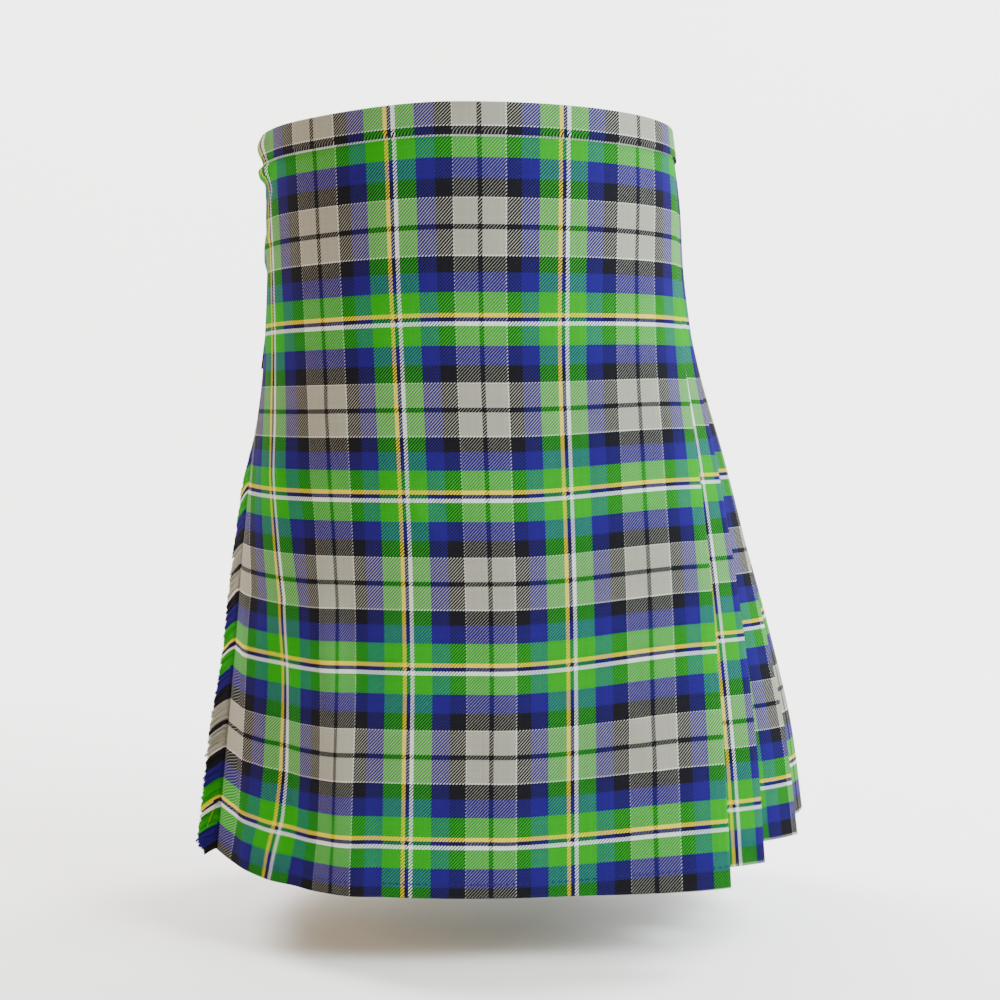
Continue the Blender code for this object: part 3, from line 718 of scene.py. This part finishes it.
# Two layers of broad locks and one of single threads: count, width, thickness, sides and share of the length
LOCK_LAYERS = ((300, 4.0, 1.3, 4, 0.99), (300, 3.2, 1.0, 4, 0.96), (560, 0.8, 0.6, 3, 1.0))

# One yellow thread that has come loose and hangs across the locks near the hem
LOOSE_THREAD_DEPTH = 569.0
LOOSE_THREAD_ONWARD = 0.45
LOOSE_THREAD_OUTWARD = 0.89
LOOSE_THREAD_OUTSET = 1.6


def fringe_root(depth):
    """The apron's edge at a depth, the way onwards from it and the way outwards, in plan."""
    girth = Girth(depth)
    length = girth.apron_length(np.array([APRON_LEFT_EDGE]))
    inset = apron_inset(np.array([APRON_LEFT_EDGE]), depth)
    outward = np.append(girth.outward(length)[0], 0.0)
    onward = np.array((outward[1], -outward[0], 0.0))
    return girth.points(length, inset, apron_rise(length))[0], onward, outward


def add_lock(mesh, layer, root, way, length, droop, width, thick, pattern, sides=4, rings=5):
    """A flat tapering lock of yarn ends that leaves the edge along its way and hangs a little."""
    side = np.cross(way, UPWARDS)
    loops = []
    for ring in range(rings + 1):
        share = ring / rings
        centre = root + way * length * share + np.array((0.0, 0.0, -length * droop * share ** 1.4))
        taper = 1.0 - LOCK_TAPER * share ** 4
        loop = []
        for corner in range(sides):
            turn = 2 * math.pi * (corner + 0.5) / sides
            offset = np.array((0.0, 0.0, width / 2 * math.cos(turn))) + side * thick / 2 * math.sin(turn)
            loop.append(mesh.verts.new((centre + offset * taper) * MM))
        loops.append(loop)
    for ring, (first, second) in enumerate(zip(loops, loops[1:])):
        for corner in range(sides):
            after = (corner + 1) % sides
            face = mesh.faces.new((first[corner], first[after], second[after], second[corner]))
            for loop, reach in zip(face.loops, (ring, ring, ring + 1, ring + 1)):
                loop[layer].uv = (reach / rings * length * MM, pattern * MM)
    for face in (mesh.faces.new(loops[0][::-1]), mesh.faces.new(loops[-1])):
        for loop in face.loops:
            loop[layer].uv = (length * MM, pattern * MM)


def fringe_material(name):
    """Loose weft yarn: the stripe's own colour with painted shade in dark streaks between the yarns, and lighter
    towards the tips.
    """
    made, shader, start = new_material(name)
    place = start.node("ShaderNodeUVMap", {"uv_map": "cloth"}, {})
    along, down = place.part(0) * TO_MILLIMETRES, place.part(1) * TO_MILLIMETRES
    spot = start.node("ShaderNodeTexCoord", {}, {}, 3)
    streak = start.node("ShaderNodeTexNoise", {}, {"Vector": spot, "Scale": 900.0, "Detail": 2.0})
    # Painted shade: the noise streaks darken the yarn colour where shade falls between the yarns, and the colour
    # grows lighter along each lock towards its tip
    shade = 0.55 + streak * 0.5 + along / LOCK_LENGTH * 0.25
    join(shader, "Base Color", sett_yarn(down)[0].shaded(shade))
    bump = start.node("ShaderNodeBump", {}, {"Strength": 0.6, "Distance": 0.0003, "Height": streak})
    join(shader, "Normal", bump)
    fix(shader, Roughness=0.92, Specular_IOR_Level=0.05)
    return made


chance = random.Random(11)
mesh = bmesh.new()
layer = mesh.loops.layers.uv.new("cloth")
for count, width, thick, sides, reach in LOCK_LAYERS:
    for number in range(count):
        depth = FRINGE_TOP + (number + chance.uniform(0.3, 0.7)) * (FRINGE_END - FRINGE_TOP) / count
        if any(CLEAR_OF_STRAP[0] < depth - strap < CLEAR_OF_STRAP[1] for strap in STRAP_DEPTHS):
            continue
        root, onward, outward = fringe_root(depth)
        spread = np.interp(depth, *zip(*LOCK_SPREADS)) + chance.uniform(-0.05, 0.05)
        way = onward * math.sqrt(max(0.0, 1.0 - spread * spread)) + outward * spread
        start = root - onward * ROOT_INSIDE + outward * chance.uniform(-0.5, 0.4)
        shortened = 1.0 - LAST_LOCK_LOSS * float(between(depth, LAST_LOCKS))
        add_lock(mesh, layer, start, way, LOCK_LENGTH * reach * shortened * chance.uniform(0.95, 1.04),
                 LOCK_DROOP * chance.uniform(0.96, 1.05), width * chance.uniform(0.8, 1.15), thick,
                 weft_place(depth) + chance.uniform(-0.5, 0.5), sides)
root, onward, outward = fringe_root(LOOSE_THREAD_DEPTH)
way = onward * LOOSE_THREAD_ONWARD + outward * LOOSE_THREAD_OUTWARD
add_lock(mesh, layer, root + outward * LOOSE_THREAD_OUTSET, way, length=10.0, droop=2.1, width=1.0, thick=1.0,
         pattern=0.0, rings=8)
fringe_mesh = bpy.data.meshes.new("fringe_locks")
bmesh.ops.recalc_face_normals(mesh, faces=mesh.faces)
mesh.to_mesh(fringe_mesh)
mesh.free()
fringe_mesh.shade_smooth()
fringe = bpy.data.objects.new("fringe_locks", fringe_mesh)
bpy.context.collection.objects.link(fringe)
fringe.data.materials.append(fringe_material("loose_yarn"))
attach(fringe, "root")
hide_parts("apron_fringe")

# Straps
# Three black leather straps, stitched along both edges and pointed at the tip. Two hold the over apron on its
# left edge, and the third comes from the slit on the right. Each is buckled to a leather tab.
STRAP_WIDTH = 25.0
STRAP_WALL = 1.6
STRAP_LIFT = 1.0
TAB_WALL = 1.6
TAB_WIDTH = 22.0
TAB_SPAN = (58.6, 94.0)
TAB_STEPS = 20
WIRE_RADIUS = 1.3
SLIT_PLACE = 52.0
STRAP_START_ON_APRON = -9.0
STRAP_END = 88.0
TIP_LENGTH = 8.0
TIP_LOSS = 0.75
TONGUE_SLOT = (45.0, 52.5)

# The two rows of stitches on a strap
SEAM_INSET = 2.6
SEAM_HALF_WIDTH = 0.45
SEAM_PITCH = 3.2
SEAM_SHARE = 0.66

# Each closure's depth, and whether its strap starts on the over apron
CLOSURES = {
    "upper": (STRAP_DEPTHS[0], True),
    "lower": (STRAP_DEPTHS[1], True),
    "under": (STRAP_DEPTHS[0], False),
}

# Lifts of a strap's middle off the line just above the pleats: on them, on the apron, over the frame's end
# bar and over the tab. The stations are where it changes from one to the next.
OFF_PLEATS = PLEAT_HALF_WALL + STRAP_LIFT
ON_PLEATS = STRAP_WALL / 2
ON_APRON = APRON_OUTSET + APRON_HALF_WALL + STRAP_LIFT - OFF_PLEATS + STRAP_WALL / 2
OVER_BAR = 2 * WIRE_RADIUS + 0.3 + STRAP_WALL / 2
OVER_TAB = TAB_WALL + 0.35 + STRAP_WALL / 2
LIFT_STATIONS = (8.0, 20.0, 44.0, 52.5, 60.0, 68.0)


def strap_place(kind, along, drop, lift):
    """Places on a strap, by the length along it, the drop from its middle and the lift off the pleats."""
    depth, from_apron = CLOSURES[kind]
    girth = Girth(depth + drop)
    start = girth.apron_length(APRON_LEFT_EDGE) if from_apron else girth.pleat_edge(0) + SLIT_PLACE
    way = -1.0 if from_apron else 1.0
    return girth.points(start + way * np.asarray(along), -OFF_PLEATS - np.asarray(lift))


def leather_material(name):
    """Smooth black hide with a fine grain, waxed thread near its edges and a slightly worn surface."""
    made, shader, start = new_material(name)
    place = start.node("ShaderNodeUVMap", {"uv_map": "cloth"}, {})
    along, drop = place.part(0) * TO_MILLIMETRES, place.part(1) * TO_MILLIMETRES
    spot = start.node("ShaderNodeTexCoord", {}, {}, 3)
    grain = start.node("ShaderNodeTexVoronoi", {}, {"Vector": spot, "Scale": 900.0})
    wear = start.node("ShaderNodeTexNoise", {}, {"Vector": spot, "Scale": 60.0, "Detail": 4.0})
    from_row = (drop.reckon("ABSOLUTE") - (STRAP_WIDTH / 2 - SEAM_INSET)).reckon("ABSOLUTE")
    thread = (from_row < SEAM_HALF_WIDTH) * ((along / SEAM_PITCH).fraction() < SEAM_SHARE)
    base = (wear.rise(0.45, 0.75) * 0.6).blend((0.004, 0.004, 0.004, 1.0), (0.014, 0.013, 0.012, 1.0))
    join(shader, "Base Color", thread.blend(base, (0.05, 0.047, 0.042, 1.0)))
    join(shader, "Roughness", 0.5 + wear * 0.2)
    height = grain * 0.5 + thread * 1.5 - from_row.rise(1.1, 0.3)
    bump = start.node("ShaderNodeBump", {}, {"Strength": 0.5, "Distance": 0.0003, "Height": height})
    join(shader, "Normal", bump)
    fix(shader, Specular_IOR_Level=0.12)
    return made


leather = leather_material("black_hide")
for kind, (_, from_apron) in CLOSURES.items():
    stations = np.linspace(STRAP_START_ON_APRON if from_apron else 0.0, STRAP_END, 78)
    lifts = np.interp(stations, LIFT_STATIONS, (ON_APRON if from_apron else ON_PLEATS, ON_PLEATS, ON_PLEATS,
                                                OVER_BAR, OVER_BAR, OVER_TAB))
    lifts = np.convolve(np.pad(lifts, 2, mode="edge"), np.ones(5) / 5, "valid")
    into_tip = np.clip((stations - (STRAP_END - TIP_LENGTH)) / TIP_LENGTH, 0.0, 1.0)
    widths = STRAP_WIDTH / 2 * (1.0 - TIP_LOSS * into_tip ** 2)
    rows, places = [], []
    for share in np.linspace(-1.0, 1.0, 13):
        drops = share * widths
        rows.append([strap_place(kind, [along], drop, [lift])[0]
                     for along, drop, lift in zip(stations, drops, lifts)])
        places.append(np.stack((stations, drops), -1))
    slot_columns = [column for column, along in enumerate(stations[:-1])
                    if TONGUE_SLOT[0] < along < TONGUE_SLOT[1]]
    strap = cloth_piece("strap_" + kind + "_leather", rows, places, STRAP_WALL,
                        [(row, column) for row in (5, 6) for column in slot_columns])
    strap.data.materials.append(leather)
    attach(strap, "root")
    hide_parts("strap_" + kind)

    # A tab is narrower than its strap, so its places are moved outwards to keep the stitches near its edges
    stations = np.linspace(*TAB_SPAN, TAB_STEPS)
    rows, places = [], []
    for drop in np.linspace(-TAB_WIDTH / 2, TAB_WIDTH / 2, 9):
        rows.append(strap_place(kind, stations, drop, np.full(TAB_STEPS, TAB_WALL / 2)))
        outwards = math.copysign((STRAP_WIDTH - TAB_WIDTH) / 2, drop)
        places.append(np.stack((stations, np.full(TAB_STEPS, drop + outwards)), -1))
    tab = cloth_piece("tab_" + kind + "_leather", rows, places, TAB_WALL)
    tab.data.materials.append(leather)
    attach(tab, "root")
    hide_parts("tab_" + kind)

# Buckles
# Plain rectangular buckles of bent, polished wire. Each tongue goes through its strap and rests on the
# frame. Both keep the shapes of their solids and get only their metal here.
metal, metal_shader, metal_start = new_material("polished_wire")
spot = metal_start.node("ShaderNodeTexCoord", {}, {}, 3)
rub = metal_start.node("ShaderNodeTexNoise", {}, {"Vector": spot, "Scale": 250.0, "Detail": 3.0})
join(metal_shader, "Roughness", 0.16 + rub * 0.16)
join(metal_shader, "Base Color", rub.rise(0.3, 0.8).blend((0.62, 0.62, 0.63, 1.0), (0.80, 0.80, 0.80, 1.0)))
fix(metal_shader, Metallic=1.0)
for kind in CLOSURES:
    for node in ("buckle_" + kind, "tongue_" + kind):
        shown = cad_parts[node]
        shown.data.materials.clear()
        shown.data.materials.append(metal)

# Floor, light and camera
# A pale studio sweep, flat under the hanging kilt and rising behind it, with two lamps of its own. A large
# cool light and a small nearer one stand on the right, and a weaker, warm one on the left. Lengths in metres.
CAMERA_PLACE = (0.0234, -1.248, -0.241)
CAMERA_LENS = 52.96
CAMERA_SENSOR = 36.0
CAMERA_SHIFT = -0.068
FLOOR_HEIGHT = -0.66
SWEEP_FRONT = -6.0
SWEEP_START = 1.4
SWEEP_RADIUS = 1.6
SWEEP_TOP = 7.0
SWEEP_HALF_WIDTH = 7.0
SWEEP_STEPS = 24

sweep = [(SWEEP_FRONT, 0.0), (SWEEP_START, 0.0)]
for step in range(1, SWEEP_STEPS + 1):
    turn = math.pi / 2 * step / SWEEP_STEPS
    sweep.append((SWEEP_START + SWEEP_RADIUS * math.sin(turn), SWEEP_RADIUS * (1.0 - math.cos(turn))))
sweep.append((SWEEP_START + SWEEP_RADIUS, SWEEP_TOP))
corners = [(side, along, FLOOR_HEIGHT + up) for along, up in sweep
           for side in (-SWEEP_HALF_WIDTH, SWEEP_HALF_WIDTH)]
floor_mesh = bpy.data.meshes.new("floor")
floor_mesh.from_pydata(corners, [], [(2 * i, 2 * i + 1, 2 * i + 3, 2 * i + 2) for i in range(len(sweep) - 1)])
floor_mesh.shade_smooth()
floor = bpy.data.objects.new("floor", floor_mesh)
bpy.context.collection.objects.link(floor)
floor_paint, floor_shader, _ = new_material("pale_floor")
fix(floor_shader, Base_Color=(0.92, 0.92, 0.92, 1.0), Roughness=1.0, Specular_IOR_Level=0.0)
floor.data.materials.append(floor_paint)

world = bpy.data.worlds.new("studio")
bpy.context.scene.world = world
world.use_nodes = True
world.node_tree.nodes["Background"].inputs["Color"].default_value = (1.0, 0.94, 0.84, 1.0)
world.node_tree.nodes["Background"].inputs["Strength"].default_value = 0.38


def soft_light(name, place, target, size, power, colour):
    """A square lamp at a place, turned to face its target."""
    bpy.ops.object.light_add(type="AREA", location=place)
    light = bpy.context.object
    light.name = name
    light.data.size = size
    light.data.energy = power
    light.data.color = colour
    way = np.array(target) - np.array(place)
    tilt, turn = math.atan2(math.hypot(way[0], way[1]), -way[2]), math.atan2(way[1], way[0]) - math.pi / 2
    light.rotation_euler = (tilt, 0.0, turn)


soft_light("right_window", (2.3, -1.2, 1.1), (0.0, 0.0, -0.2), 1.5, 118.0, (0.92, 0.98, 1.0))
soft_light("near_window", (1.0, -1.0, 0.55), (0.15, -0.1, -0.05), 0.5, 31.0, (0.88, 0.98, 1.0))
soft_light("left_lamp", (-2.5, -1.2, 0.4), (0.0, 0.0, -0.3), 1.2, 44.0, (1.0, 0.52, 0.10))
soft_light("sweep_lamp_right", (2.0, 0.9, 2.2), (0.0, 2.6, 0.0), 1.5, 240.0, (1.0, 1.0, 1.0))
soft_light("sweep_lamp_left", (-2.0, 0.9, 2.2), (0.0, 2.6, 0.0), 1.5, 240.0, (1.0, 1.0, 1.0))

bpy.ops.object.camera_add(location=CAMERA_PLACE, rotation=(math.pi / 2, 0.0, 0.0))
camera = bpy.context.object
camera.data.lens = CAMERA_LENS
camera.data.sensor_width = CAMERA_SENSOR
camera.data.shift_y = CAMERA_SHIFT
bpy.context.scene.camera = camera
